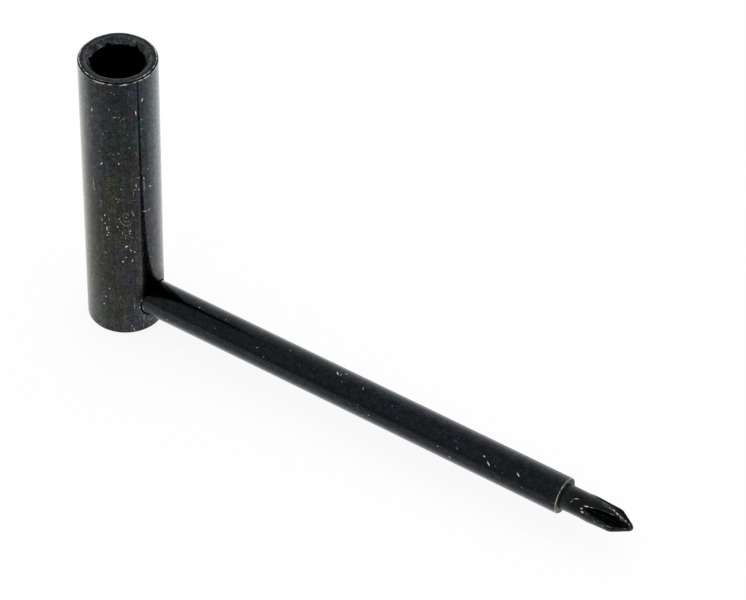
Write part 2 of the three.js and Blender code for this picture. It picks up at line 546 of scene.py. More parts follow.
# Where a stain ends, in its half sizes from its middle, how deep under the surface
# a scratch still shows, and the distance that is added to anything deeper.
STAIN_REACH = 1.6
NICK_DEPTH = 0.25
OUT_OF_REACH = 9


def unrolled(piece):
    """Each vertex's angle round the piece, and its place along it and distance from
    its axis in millimetres. The angle runs from +X towards +Y on the barrel, and
    from +Y towards +Z on the rod and the bit."""
    places = np.empty(3 * len(piece.data.vertices))
    piece.data.vertices.foreach_get("co", places)
    x, y, z = places.reshape(-1, 3).T / MM
    if piece.name == "wrench_barrel":
        return np.arctan2(y, x), z, np.hypot(x, y)
    up = z - ROD_HEIGHT
    return np.arctan2(up, y), x, np.hypot(y, up)


def angle_from(angle, around):
    """The angle from a direction in degrees, between minus and plus half a turn."""
    return (angle - math.radians(around) + math.pi) % (2 * math.pi) - math.pi


def in_nick_frame(angle, along, nick, radius):
    """Distances in millimetres along and across one scratch, from its middle."""
    around, middle, _, _, turn, _ = nick
    cos_t = math.cos(math.radians(turn))
    sin_t = math.sin(math.radians(turn))
    aside = angle_from(angle, around) * radius
    up = along - middle
    return aside * cos_t + up * sin_t, up * cos_t - aside * sin_t


def stain(piece, base, patches, radius_at):
    """Stores the colour of the oxide film at each vertex: a base colour, with soft
    patches laid over it. On the rod one patch is a painted reflection, a dark stripe along it."""
    angle, along, _ = unrolled(piece)
    film = np.tile(np.array(base), (len(angle), 1))
    for around, middle, half_width, half_length, color in patches:
        aside = angle_from(angle, around) * radius_at(middle) / half_width
        reach = np.hypot(aside, (along - middle) / half_length)
        weight = np.clip(STAIN_REACH - reach, 0, 1)[:, None]
        film += (np.array(color) - film) * weight
    stored = piece.data.attributes.new("film", "FLOAT_COLOR", "POINT")
    stored.data.foreach_set("color", film.ravel())


def mark_nicks(piece, nicks, radius_at):
    """Stores, at each corner of a face, its place in the frame of the scratch that is
    nearest to the face, as shares of its half length and half width, and with the
    scratch's brightness as the third value."""
    mesh = piece.data
    angle, along, out = unrolled(piece)
    corner = np.empty(len(mesh.loops), dtype=int)
    mesh.loops.foreach_get("vertex_index", corner)
    count = np.empty(len(mesh.polygons), dtype=int)
    mesh.polygons.foreach_get("loop_total", count)
    first = np.cumsum(count) - count
    face_of = np.repeat(np.arange(len(count)), count)
    best = np.full(len(count), np.inf)
    local = np.zeros((len(corner), 3))
    for nick in nicks:
        _, middle, length, width, _, strength = nick
        radius = radius_at(middle)
        run, aside = in_nick_frame(angle[corner], along[corner], nick, radius)
        past_end = np.maximum(np.abs(run) - (length - width) / 2, 0)
        gap = np.maximum(np.hypot(past_end, aside) - width / 2, 0)
        gap += np.where(out[corner] < radius - NICK_DEPTH, OUT_OF_REACH, 0)
        gap = np.add.reduceat(gap, first) / count
        nearer = gap < best
        best = np.minimum(best, gap)
        here = nearer[face_of]
        frame_here = np.stack([run * 2 / length, aside * 2 / width, 0 * run + strength], axis=1)
        local[here] = frame_here[here]
    stored = mesh.attributes.new("nick", "FLOAT_VECTOR", "CORNER")
    stored.data.foreach_set("vector", local.ravel())


# Node helpers. A value given for an input may be a number, a colour or a socket.


def node(tree, kind, inputs=None, **settings):
    made = tree.nodes.new(kind)
    for key, value in settings.items():
        setattr(made, key, value)
    for key, value in (inputs or {}).items():
        if isinstance(value, bpy.types.NodeSocket):
            tree.links.new(value, made.inputs[key])
        else:
            made.inputs[key].default_value = value
    return made


def calc(tree, operation, *values, clamp=False):
    inputs = dict(enumerate(values))
    return node(tree, "ShaderNodeMath", inputs, operation=operation, use_clamp=clamp).outputs[0]


def fold(tree, operation, values):
    result = values[0]
    for value in values[1:]:
        result = calc(tree, operation, result, value)
    return result


def times(tree, *values):
    return fold(tree, "MULTIPLY", values)


def most(tree, *values):
    return fold(tree, "MAXIMUM", values)


def vector(tree, operation, *values):
    made = node(tree, "ShaderNodeVectorMath", dict(enumerate(values)), operation=operation)
    return made.outputs["Value" if operation in ("DOT_PRODUCT", "LENGTH") else "Vector"]


def step(tree, value, low, high, out_low=0.0, out_high=1.0):
    """A smooth step of value from low to high."""
    inputs = {"Value": value, "From Min": low, "From Max": high,
              "To Min": out_low, "To Max": out_high}
    return node(tree, "ShaderNodeMapRange", inputs, interpolation_type="SMOOTHSTEP").outputs[0]


def mix_value(tree, factor, first, second):
    return node(tree, "ShaderNodeMix", {0: factor, 2: first, 3: second}).outputs[0]


def mix(tree, factor, first, second, blend="MIX"):
    """A mix of colours. A mix node has its sockets for colours after the others."""
    inputs = {0: factor, 6: first, 7: second}
    return node(tree, "ShaderNodeMix", inputs, data_type="RGBA", blend_type=blend).outputs[2]


def noise(tree, place, scale, detail=2.0, roughness=0.5, seed=0.0):
    inputs = {"Vector": place, "W": seed, "Scale": scale, "Detail": detail, "Roughness": roughness}
    made = node(tree, "ShaderNodeTexNoise", inputs, noise_dimensions="4D")
    return made.outputs["Fac"]


def grey(value):
    return (value, value, value, 1)


def new_tree(name):
    material = bpy.data.materials.new(name)
    material.use_nodes = True
    material.node_tree.nodes.clear()
    return material, material.node_tree


# Steel finishes. The black oxide film is a dark metal under a thin clear layer of
# oil, and where it is worn through the bright steel shows.

WORN_STEEL = (0.8, 0.79, 0.77, 1)
WORN_ROUGHNESS = 0.4
WORN_METALLIC = 0.25
STREAK_ROUGHNESS = 0.12
MOTTLE_ROUGHNESS = 0.08
GRAIN_SCALE = 3.6
# How much the painted shade darkens the steel at full strength.
PAINTED_SHADE_DEPTH = 0.9
MATT_ROUGHNESS = 0.5
MATT_GAIN = 1.3
MATT_DRYNESS = 0.7
MATT_METALLIC = 0.5
# The range that a noise mostly keeps to, how far a dash reaches in its cell, how
# ragged a placed scratch is, and its level at its middle and its fall from there.
NOISE_RANGE = (0.32, 0.68)
DASH_REACH = (0.11, 0.05)
NICK_RAGGED = 0.9
NICK_LEVEL = 1.6
NICK_FALL = 1.5


def place_in_mm(tree):
    coordinates = node(tree, "ShaderNodeTexCoord").outputs["Object"]
    return vector(tree, "MULTIPLY", coordinates, (1 / MM, 1 / MM, 1 / MM))


def film_tint(tree, along, look):
    """The stains stored in the mesh, among them the rod's painted reflection, with small
    random patches in the same tints.
    """
    color = node(tree, "ShaderNodeAttribute", attribute_name="film").outputs["Color"]
    for i, tint in enumerate(look["tints"]):
        patch = noise(tree, along, look["tint_scale"], 2, 0.5, look["seed"] + i)
        color = mix(tree, step(tree, patch, 0.52, 0.68, 0, 0.5), color, tint)
    return color


def dashes(tree, place, turn, squash, spacing, share, seed):
    """Short scratches in one direction, in a share of the cells of a loose grid."""
    scale = tuple(s / spacing for s in squash)
    inputs = {"Vector": place, "Location": (seed, -seed, seed / 2), "Rotation": turn, "Scale": scale}
    cells = node(tree, "ShaderNodeMapping", inputs).outputs[0]
    voronoi = node(tree, "ShaderNodeTexVoronoi", {"Vector": cells, "Scale": 1.0, "Randomness": 1.0})
    near = step(tree, voronoi.outputs["Distance"], *DASH_REACH)
    pick = node(tree, "ShaderNodeSeparateColor", {"Color": voronoi.outputs["Color"]})
    chosen = calc(tree, "LESS_THAN", pick.outputs["Red"], share)
    strength = calc(tree, "MULTIPLY_ADD", pick.outputs["Green"], 0.8, 0.2)
    return times(tree, near, chosen, strength)


def hairlines(tree, place, scale, seed, width):
    """Thin curling scratches, along a level line of a noise."""
    level = noise(tree, place, scale, 1, 0.4, seed)
    off = calc(tree, "ABSOLUTE", calc(tree, "SUBTRACT", level, 0.5))
    line = step(tree, off, width, width / 3)
    where = step(tree, noise(tree, place, 0.35, 1, 0.5, seed + 7), 0.52, 0.66)
    broken = step(tree, noise(tree, place, 2.6, 1, 0.5, seed + 3), 0.5, 0.62)
    return times(tree, line, where, broken)


def placed_nicks(tree, place):
    """The placed scratches, from each point's position in the frame of the nearest."""
    local = node(tree, "ShaderNodeAttribute", attribute_name="nick").outputs["Vector"]
    reach = vector(tree, "LENGTH", vector(tree, "MULTIPLY", local, (1, 1, 0)))
    ragged = calc(tree, "SUBTRACT", noise(tree, place, 5.0, 1), 0.5)
    reach = calc(tree, "MULTIPLY_ADD", ragged, NICK_RAGGED, reach)
    mark = calc(tree, "MULTIPLY_ADD", reach, -NICK_FALL, NICK_LEVEL, clamp=True)
    return times(tree, mark, axis(tree, local, "Z"))


def random_wear(tree, place, look):
    """Specks, dashes and hairlines that nobody placed, gathered in loose patches."""
    seed = look["seed"]
    patches = step(tree, noise(tree, place, 0.22, 1, 0.5, seed + 11), 0.42, 0.62, 0.25, 1)
    marks = hairlines(tree, place, 0.55, seed, 0.006)
    for i, (turn, squash, spacing, share) in enumerate(look["dashes"]):
        layer = dashes(tree, place, turn, squash, spacing, share, seed + 5.3 * i)
        marks = most(tree, marks, layer)
    return times(tree, marks, patches, look["wear"])


def steel(look):
    material, tree = new_tree(look["name"])
    place = place_in_mm(tree)
    along = vector(tree, "MULTIPLY", place, look["stretch"])
    streaks = noise(tree, along, look["streak_scale"], 3, 0.6, look["seed"] + 20)
    mottle = noise(tree, place, 0.9, 3, 0.6, look["seed"] + 30)
    grain = noise(tree, place, GRAIN_SCALE, 2, 0.6, look["seed"] + 40)
    # Painted shade from each piece's own function: it darkens the film, dims the wear and thins the oil
    # coat.
    painted_shade = look["painted_shade"](tree, place)
    unshaded = calc(tree, "MULTIPLY_ADD", painted_shade, -PAINTED_SHADE_DEPTH, 1.0)
    matt = look["matt"](tree, place)
    # The film's tone from streaks, mottle and grain, times the painted shade and the matt faces' gain.
    tone_and_painted_shade = times(
        tree,
        spread(tree, streaks, look["streaks"]),
        spread(tree, mottle, look["mottle"]),
        spread(tree, grain, look["grain"]),
        unshaded,
        calc(tree, "MULTIPLY_ADD", matt, MATT_GAIN, 1.0),
    )
    film = film_tint(tree, along, look)
    film = mix(tree, 1.0, film, vector(tree, "MULTIPLY", (1, 1, 1), tone_and_painted_shade), "MULTIPLY")
    nicks = placed_nicks(tree, place)
    worn = most(tree, random_wear(tree, place, look), nicks, look["edges"](tree, place))
    worn = times(tree, worn, unshaded)
    rough = look["roughness"] - STREAK_ROUGHNESS / 2
    rough = calc(tree, "MULTIPLY_ADD", streaks, STREAK_ROUGHNESS, rough)
    rough = calc(tree, "MULTIPLY_ADD", mottle, MOTTLE_ROUGHNESS, rough)
    rough = mix_value(tree, matt, rough, MATT_ROUGHNESS)
    color = mix(tree, worn, film, WORN_STEEL)
    metallic = calc(tree, "MULTIPLY_ADD", matt, MATT_METALLIC - 1, 1.0)
    height = calc(tree, "MULTIPLY_ADD", streaks, look["streak_depth"], grain)
    height = calc(tree, "SUBTRACT", height, nicks)
    bump = node(tree, "ShaderNodeBump", {"Height": height, "Strength": 1.0, "Distance": look["bump"]})
    oil = times(tree, spread(tree, grain, look["grain"] / 2), look["coat"],
                calc(tree, "MULTIPLY_ADD", matt, -MATT_DRYNESS, 1.0))
    shader = node(tree, "ShaderNodeBsdfPrincipled", {
        "Base Color": color,
        "Metallic": mix_value(tree, worn, metallic, WORN_METALLIC),
        "Roughness": mix_value(tree, worn, rough, WORN_ROUGHNESS),
        "Normal": bump.outputs[0],
        "Coat Weight": calc(tree, "MULTIPLY", oil, unshaded, clamp=True),
        "Coat Roughness": look["coat_roughness"],
        "Coat IOR": 1.5,
    })
    node(tree, "ShaderNodeOutputMaterial", {"Surface": shader.outputs[0]})
    return material


def spread(tree, value, amount):
    """A factor about 1 that a noise moves up and down by as much as the amount."""
    return step(tree, value, *NOISE_RANGE, 1 - amount, 1 + amount)


def radius_about_z(tree, place):
    flat = vector(tree, "MULTIPLY", place, (1, 1, 0))
    return vector(tree, "LENGTH", flat)


def radius_about_rod(tree, place):
    centred = vector(tree, "SUBTRACT", place, (0, 0, ROD_HEIGHT))
    return vector(tree, "LENGTH", vector(tree, "MULTIPLY", centred, (0, 1, 1)))


def axis(tree, place, letter):
    return node(tree, "ShaderNodeSeparateXYZ", {"Vector": place}).outputs[letter]


def band(tree, value, middle, half_width):
    """1 where value is at the middle, down to 0 at half_width to each side."""
    off = calc(tree, "ABSOLUTE", calc(tree, "SUBTRACT", value, middle))
    return step(tree, off, half_width, half_width / 3)


def below_lead_in(tree, place):
    """How far a point lies under the lead-in's cone."""
    fall = times(tree, radius_about_z(tree, place), -math.tan(LEAD_IN_SLOPE))
    cone_at_axis = BARREL_LENGTH - LEAD_IN_RADIUS * math.tan(LEAD_IN_SLOPE)
    return calc(tree, "SUBTRACT", calc(tree, "SUBTRACT", cone_at_axis, fall), axis(tree, place, "Z"))


def barrel_matt(tree, place):
    """The lead-in, which is dry and finely turned."""
    inside = step(tree, radius_about_z(tree, place), LEAD_IN_RADIUS + 0.06, LEAD_IN_RADIUS - 0.02)
    return times(tree, inside, step(tree, below_lead_in(tree, place), 0.08, 0.03))


def rod_matt(tree, place):
    """The sawn face round the bit."""
    on_face = step(tree, axis(tree, place, "X"), ROD_REACH - 0.04, ROD_REACH - 0.01)
    inner = step(tree, radius_about_rod(tree, place), ROD_RADIUS - 0.12, ROD_RADIUS - 0.2)
    return times(tree, on_face, inner)


FRONT_ANGLE = math.radians(-52)
FRONT_OF_RIM = (math.cos(FRONT_ANGLE), math.sin(FRONT_ANGLE), 0)


def barrel_edges(tree, place):
    """The worn line round the top face, a broken one at the top of the wall, and a
    fainter one round the lead-in."""
    radius = radius_about_z(tree, place)
    height = axis(tree, place, "Z")
    on_top = step(tree, height, BARREL_LENGTH - 0.14, BARREL_LENGTH - 0.06)
    stretches = step(tree, noise(tree, place, 0.8, 4, 0.7, 3.0), 0.42, 0.58, 0.04, 0.8)
    line = band(tree, radius, BARREL_RADIUS - RIM_BREAK - 0.05, 0.1)
    # The line is painted dimmer on the front of the rim, the side that faces the camera.
    toward_front = vector(tree, "DOT_PRODUCT", place, FRONT_OF_RIM)
    line = times(tree, line, step(tree, toward_front, 5.7, 4.4, 0.25, 1.2))
    inner = times(tree, band(tree, radius, LEAD_IN_RADIUS + 0.05, 0.12), 0.14)
    flat = times(tree, most(tree, line, inner), stretches, on_top)
    wall = step(tree, radius, BARREL_RADIUS - 0.08, BARREL_RADIUS - 0.02)
    broken = step(tree, noise(tree, place, 0.9, 4, 0.7, 8.0), 0.46, 0.6, 0.02, 0.8)
    outer = band(tree, height, BARREL_LENGTH - RIM_BREAK - 0.08, 0.16)
    return most(tree, flat, times(tree, outer, wall, broken))


def barrel_painted_shade(tree, place):
    """Painted shade: a dark ring for a turned groove round the top face, a dark band on the
    broken edge outside it, the inside of the socket darkened, and the corner above the rod darkened and
    dulled."""
    radius = radius_about_z(tree, place)
    height = axis(tree, place, "Z")
    on_top = step(tree, height, BARREL_LENGTH - 0.1, BARREL_LENGTH - 0.04)
    groove = times(tree, band(tree, radius, BARREL_RADIUS - 0.55, 0.16), on_top, 0.5)
    on_bevel = step(tree, height, BARREL_LENGTH - 0.24, BARREL_LENGTH - 0.2)
    bevel = times(tree, band(tree, radius, BARREL_RADIUS - RIM_BREAK / 2, 0.13), on_bevel, 0.6)
    near_rod = step(tree, radius_about_rod(tree, place), ROD_RADIUS + 3.4, ROD_RADIUS + 0.4)
    above = step(tree, height, ROD_HEIGHT - 0.5, ROD_HEIGHT + 2.5)
    facing = step(tree, axis(tree, place, "X"), 4.6, 5.4)
    corner = times(tree, near_rod, above, facing)
    inside = step(tree, radius, LEAD_IN_RADIUS, LEAD_IN_RADIUS - 0.05)
    inside = times(tree, inside, step(tree, below_lead_in(tree, place), 0.03, 0.1))
    return most(tree, groove, bevel, corner, inside)


def rod_edges(tree, place):
    """The worn edge of the rod's end face, and a painted highlight: a bright line on the
    rod's underside just outside the barrel's wall.
    """
    radius = radius_about_rod(tree, place)
    reach = calc(tree, "ADD", radius, axis(tree, place, "X"))
    corner = ROD_RADIUS + ROD_REACH - ROD_END_BREAK
    on_edge = step(tree, reach, corner - 0.03, corner + 0.02)
    stretches = step(tree, noise(tree, place, 1.2, 2, 0.6, 5.0), 0.35, 0.55, 0.35, 1)
    # Painted highlight along the underside of the rod where it leaves the barrel.
    at_joint = band(tree, radius_about_z(tree, place), BARREL_RADIUS + 0.14, 0.12)
    under = step(tree, axis(tree, place, "Z"), ROD_HEIGHT + 0.4, ROD_HEIGHT - 0.6, 0, 0.6)
    painted_highlight = times(tree, at_joint, under)
    return most(tree, times(tree, on_edge, stretches), painted_highlight)


def rod_painted_shade(tree, place):
    """Painted shade on top of the rod beside the barrel, shaped as the barrel's dark
    reflection: a wedge that narrows to a line along the rod."""
    beyond = calc(tree, "SUBTRACT", axis(tree, place, "X"), BARREL_RADIUS)
    middle = most(tree, calc(tree, "MULTIPLY_ADD", beyond, -0.065, -0.45), -0.85)
    half_width = most(tree, calc(tree, "MULTIPLY_ADD", beyond, -0.26, 1.75), 0.13)
    aside = calc(tree, "ABSOLUTE", calc(tree, "SUBTRACT", axis(tree, place, "Y"), middle))
    wedge = step(tree, calc(tree, "SUBTRACT", aside, half_width), 0.14, -0.1)
    on_top = step(tree, axis(tree, place, "Z"), ROD_HEIGHT + 0.8, ROD_HEIGHT + 1.6)
    fade = step(tree, beyond, 19, 14)
    return times(tree, wedge, on_top, fade)


def bit_painted_shade(tree, place):
    """Painted shade: darker deeper in the flutes, broken into streaks, and under and on the far side of the
    nose.
    """
    streaked = noise(tree, vector(tree, "MULTIPLY", place, (0.5, 3, 3)), 1.2, 2, 0.6, 4.0)
    depth = step(tree, radius_about_rod(tree, place), BIT_RADIUS - 0.1, BIT_RADIUS - 0.4)
    flutes = times(tree, depth, step(tree, streaked, 0.35, 0.65, 0.85, 0.15))
    beyond = step(tree, axis(tree, place, "X"), ROD_REACH + 7.6, ROD_REACH + 9.6, 0, 0.8)
    under = step(tree, axis(tree, place, "Z"), ROD_HEIGHT + 0.5, ROD_HEIGHT - 0.1)
    far_side = step(tree, axis(tree, place, "Y"), -0.1, 0.25)
    nose = times(tree, beyond, most(tree, under, far_side))
    return most(tree, flutes, nose)


def bit_edges(tree, place):
    """The wings' edges, worn bright near the nose."""
    edge = node(tree, "ShaderNodeAttribute", attribute_name="edge").outputs["Fac"]
    near_nose = step(tree, axis(tree, place, "X"), ROD_REACH + 5.5, ROD_REACH + 9.5, 0.1, 0.7)
    stretches = step(tree, noise(tree, place, 1.5, 2, 0.6, 2.0), 0.46, 0.6)
    worn = times(tree, step(tree, edge, 0.3, 0.9), stretches)
    return times(tree, worn, near_nose)


def bit_matt(tree, place):
    """The flutes, left as the cutting wheel made them, and the dry steel at the root."""
    flutes = step(tree, radius_about_rod(tree, place), BIT_RADIUS - 0.15, BIT_RADIUS - 0.5, 0, 0.25)
    root = step(tree, axis(tree, place, "X"), ROD_REACH + 2.4, ROD_REACH + 0.8, 0, 0.6)
    return most(tree, flutes, root)


# Scratches read from enlarged views of the photograph, in its pixels: across
# and down to one end, the same to the other end, the width, and how bright it is.
BARREL_SCRATCHES_IN_PIXELS = [
    (91.3, 106.8, 91.4, 111.2, 1.3, 1), (90.6, 114.3, 92.4, 117.2, 0.9, 0.55),
    (110, 91.6, 111.4, 91.9, 1.3, 0.5), (113.3, 94, 114.3, 94.2, 1.4, 0.35),
    (108.5, 108, 109, 110.2, 1.5, 0.5), (111.9, 117.6, 115, 117.1, 1.2, 0.75),
    (116, 116.2, 117.2, 117.6, 0.8, 0.35), (118.4, 117, 119.6, 117.6, 1, 0.5),
    (121.6, 119.6, 122.8, 119, 1.3, 0.55), (134.6, 110.6, 135.7, 115, 1.5, 1),
    (142.2, 97.6, 140.8, 101.6, 1.7, 1), (140.6, 118.6, 141.2, 119.4, 1.5, 0.75),
    (139, 128.4, 143.5, 128.2, 0.6, 0.5), (128, 94.6, 128.6, 95, 1.3, 0.35),
    (105.7, 131, 106.5, 130.4, 1.2, 0.4), (102.6, 133.4, 103.2, 134, 1.4, 0.45),
    (126.6, 134.6, 127.8, 134.8, 1.2, 0.4), (118.2, 130.6, 118.6, 131.2, 1.2, 0.35),
    (128.4, 147.4, 129.3, 147.8, 1.8, 0.6), (98.8, 150.4, 99.8, 151, 1.6, 0.45),
    (118.1, 152.6, 118.4, 153.8, 1.2, 0.8), (99.6, 164.4, 102.2, 161.8, 1.5, 1),
    (118, 162.4, 119, 165, 1.3, 0.85), (107.5, 155.5, 110.5, 151.6, 0.8, 0.35),
    (110.5, 151.6, 114.5, 155.8, 0.7, 0.35), (134.5, 151, 139, 157, 0.7, 0.35),
    (92.4, 176, 93.6, 190, 0.9, 0.5), (93.6, 186, 93.9, 190.5, 1.1, 0.6),
    (135.2, 183.6, 135.6, 187, 1.2, 0.8), (133.8, 189.2, 134.6, 189.2, 1.4, 0.85),
    (137.4, 189.2, 138.9, 189.2, 1.3, 0.95), (120.3, 188.2, 120.8, 190, 1.1, 0.75),
    (133.2, 190, 133, 197, 0.7, 0.4), (137, 178.6, 140.2, 175.8, 1, 0.55),
    (134.8, 177.6, 137.6, 177, 0.8, 0.4), (142.8, 177, 144, 179, 1.4, 0.8),
    (144, 178.6, 143.9, 193, 1, 0.55), (146.6, 167.6, 147, 168.4, 1.8, 0.7),
    (148, 185.4, 151.4, 185.6, 1.2, 0.8), (114.6, 198.8, 117.6, 198.2, 0.9, 0.55),
    (117.6, 198.2, 119.6, 200.4, 0.8, 0.55), (119.6, 200.4, 115.6, 202.2, 0.8, 0.45),
    (121, 198.6, 122.6, 200.4, 0.8, 0.4), (126.5, 202.4, 131.5, 201.8, 0.6, 0.35),
    (131, 200.2, 137, 199.2, 0.6, 0.35), (142, 210.6, 147.4, 210.2, 1, 0.85),
    (147.4, 210.2, 150.6, 206.6, 1, 0.8), (104, 213.6, 104.6, 216, 1.6, 0.9),
    (101.2, 219, 102.2, 219.6, 1.8, 0.65), (104.3, 222, 105.2, 223.6, 1.3, 0.7),
    (105.8, 224.8, 106.8, 230.6, 1.2, 1), (107.6, 231.4, 107.9, 232.6, 1.8, 1),
    (106.9, 234.4, 107.4, 235.2, 1.6, 1), (109, 218, 109.2, 220, 1.4, 0.4),
    (109, 226, 109.3, 226.8, 1, 0.45), (116, 226.2, 117.6, 226.6, 1.8, 0.9),
    (118.8, 218, 119.4, 218.8, 1.6, 0.65), (125.3, 217, 125.9, 218.2, 1.6, 0.6),
    (121.5, 222.5, 124.5, 225.6, 0.8, 0.6), (124.5, 225.6, 129.5, 225.2, 0.8, 0.6),
    (129.5, 225.2, 131.2, 221.5, 0.7, 0.5), (118.6, 220, 121.5, 224, 0.7, 0.5),
    (122.5, 219.5, 126.5, 222.4, 0.6, 0.5), (126.5, 222.4, 129, 219.5, 0.6, 0.45),
    (122.6, 214.6, 126, 212.8, 0.6, 0.45), (126, 212.8, 128.6, 215.4, 0.6, 0.45),
    (131, 209.8, 134.2, 216.6, 1, 0.6), (130, 229.4, 129.8, 231.6, 1.4, 0.9),
    (129, 232.8, 129.3, 233.6, 1.3, 0.8), (121.8, 231, 122.8, 234.5, 0.7, 0.45),
    (122.8, 234.5, 129.2, 235.2, 0.6, 0.4), (129.2, 235.2, 132, 238, 0.6, 0.4),
    (124.4, 236.8, 125.2, 238.4, 1.3, 0.5), (124.4, 246.8, 127.4, 245.4, 2.4, 1),
    (129, 248.6, 131.8, 251, 1.3, 0.7), (133.9, 250.6, 134.6, 252, 1.6, 0.9),
    (125.6, 256.6, 126.6, 257.4, 1.6, 0.75), (121.2, 261.4, 123.4, 261, 2.2, 1),
    (131.3, 262, 132.4, 258.8, 1.4, 0.8), (104.8, 251.4, 105.6, 252.4, 1.6, 0.75),
    (105, 256, 105.8, 256.6, 1.3, 0.4), (96, 246.6, 97.6, 248.6, 1.1, 0.45),
    (101.8, 262.6, 102.2, 263.6, 1.4, 0.35), (108.6, 287.4, 109.4, 288.4, 1.9, 0.9),
    (104.2, 295, 105.6, 296.4, 1.6, 0.8), (103.2, 302.4, 104.4, 303.6, 1.9, 0.95),
    (103, 292, 103.6, 292.6, 1.2, 0.35), (114.5, 266, 115, 267, 1.4, 0.35),
    (140.3, 301.2, 141.8, 298.8, 1.3, 0.95), (139, 306.4, 139.6, 307, 1.4, 0.8),
    (133.9, 301.4, 134.2, 309, 0.7, 0.45), (143.2, 314, 143.3, 321, 0.7, 0.5),
    (143.1, 321, 143.2, 329, 0.6, 0.4), (130.8, 324.2, 132.2, 326, 1.1, 0.6),
    (132.6, 327, 134.8, 330.6, 1.3, 0.65), (149.2, 320, 153.8, 316.8, 0.7, 0.4),
    (151, 322.4, 155.5, 318.6, 0.6, 0.35), (149.6, 255.4, 150.2, 256.4, 1.4, 0.45),
    (119.4, 296, 121, 297, 0.8, 0.35),
]

ROD_SCRATCHES_IN_PIXELS = [
    (198.4, 306.6, 199.6, 307.2, 1.4, 0.9), (166.4, 318.4, 167.3, 319.3, 1.4, 0.5),
    (225, 319, 226, 319.6, 1.2, 0.6), (256.3, 346.8, 257.6, 347.4, 1.35, 0.8),
    (262, 356.4, 264, 356.2, 1, 0.6), (289, 349.4, 290, 350, 1.2, 0.6),
    (336.4, 371, 338.6, 374.8, 1.6, 1), (339.5, 375, 341.5, 373.6, 1.2, 0.7),
    (345, 373.2, 347, 374, 1.6, 0.9), (340.8, 380.4, 341.8, 381, 1.3, 0.45),
    (362.5, 386.6, 362.9, 389.4, 1.15, 0.75), (391.6, 405.4, 392.4, 406, 1.3, 0.55),
    (357, 404.4, 357.8, 405, 1.2, 0.4), (367, 414.4, 369, 415, 1.2, 0.6),
    (362, 414.2, 363.4, 414.8, 1, 0.45), (436.6, 445.4, 437.6, 446, 1.4, 0.65),
    (456, 446.6, 457, 449, 1.2, 0.5), (455.4, 438.6, 456, 442, 0.9, 0.35), (447.8, 456, 450, 457, 1.5, 1),
    (483, 454.8, 484.4, 457.2, 1.6, 0.95), (486.2, 460.4, 489.2, 465.8, 1.7, 1),
    (516.8, 472.2, 518.9, 476.2, 1.6, 1), (493.8, 464.6, 495, 467.4, 0.9, 0.35),
    (501.6, 472.2, 502.6, 472.8, 1.2, 0.4), (520.6, 487, 521.6, 487.6, 1.3, 0.45),
    (214.6, 327.4, 215.4, 328, 1.4, 0.4),
]

BIT_SCRATCHES_IN_PIXELS = [
    (569.5, 502, 572.6, 499.4, 1, 0.6), (572.4, 498.2, 578.6, 498.5, 1.1, 0.8),
    (579.4, 507.4, 582.2, 508.4, 1.6, 1), (580.3, 511, 583.1, 512.3, 2, 1),
    (609, 507.3, 610, 507.8, 1.3, 0.5), (612.2, 509, 615, 511.2, 1.5, 0.85),
    (616, 512, 617.8, 514.6, 1.8, 1), (619, 516.4, 622, 517.8, 1.8, 0.95),
    (624.4, 520, 626.2, 521.4, 1.7, 0.9), (627.8, 522.8, 629.4, 524.6, 1.7, 0.95),
    (593, 520, 595, 522.5, 1.2, 0.45), (596.5, 521, 597.5, 521.6, 1.2, 0.4),
    (585, 512.6, 587, 514.4, 1, 0.35), (600, 524.6, 603.8, 525.8, 1, 0.4),
    (602, 501.6, 608, 504.8, 0.9, 0.35),
]

# Scratches given one by one, where the photograph's place doesn't suit the model: on the
# barrel's lead-in, and along the edge of the bit's flute. Each has its angle round the
# piece in degrees, the place along it, length and width in millimetres, its turn in
# degrees from across the piece, and how bright it is.
LEAD_IN_NICKS = [(-45, 52.3, 1.6, 0.2, 0, 1)]
FLUTE_NICKS = [
    (130, 88.1, 0.9, 0.24, 105, 1), (126, 88.9, 0.8, 0.18, 105, 0.85), (122, 89.9, 1.4, 0.14, 100, 0.5),
]

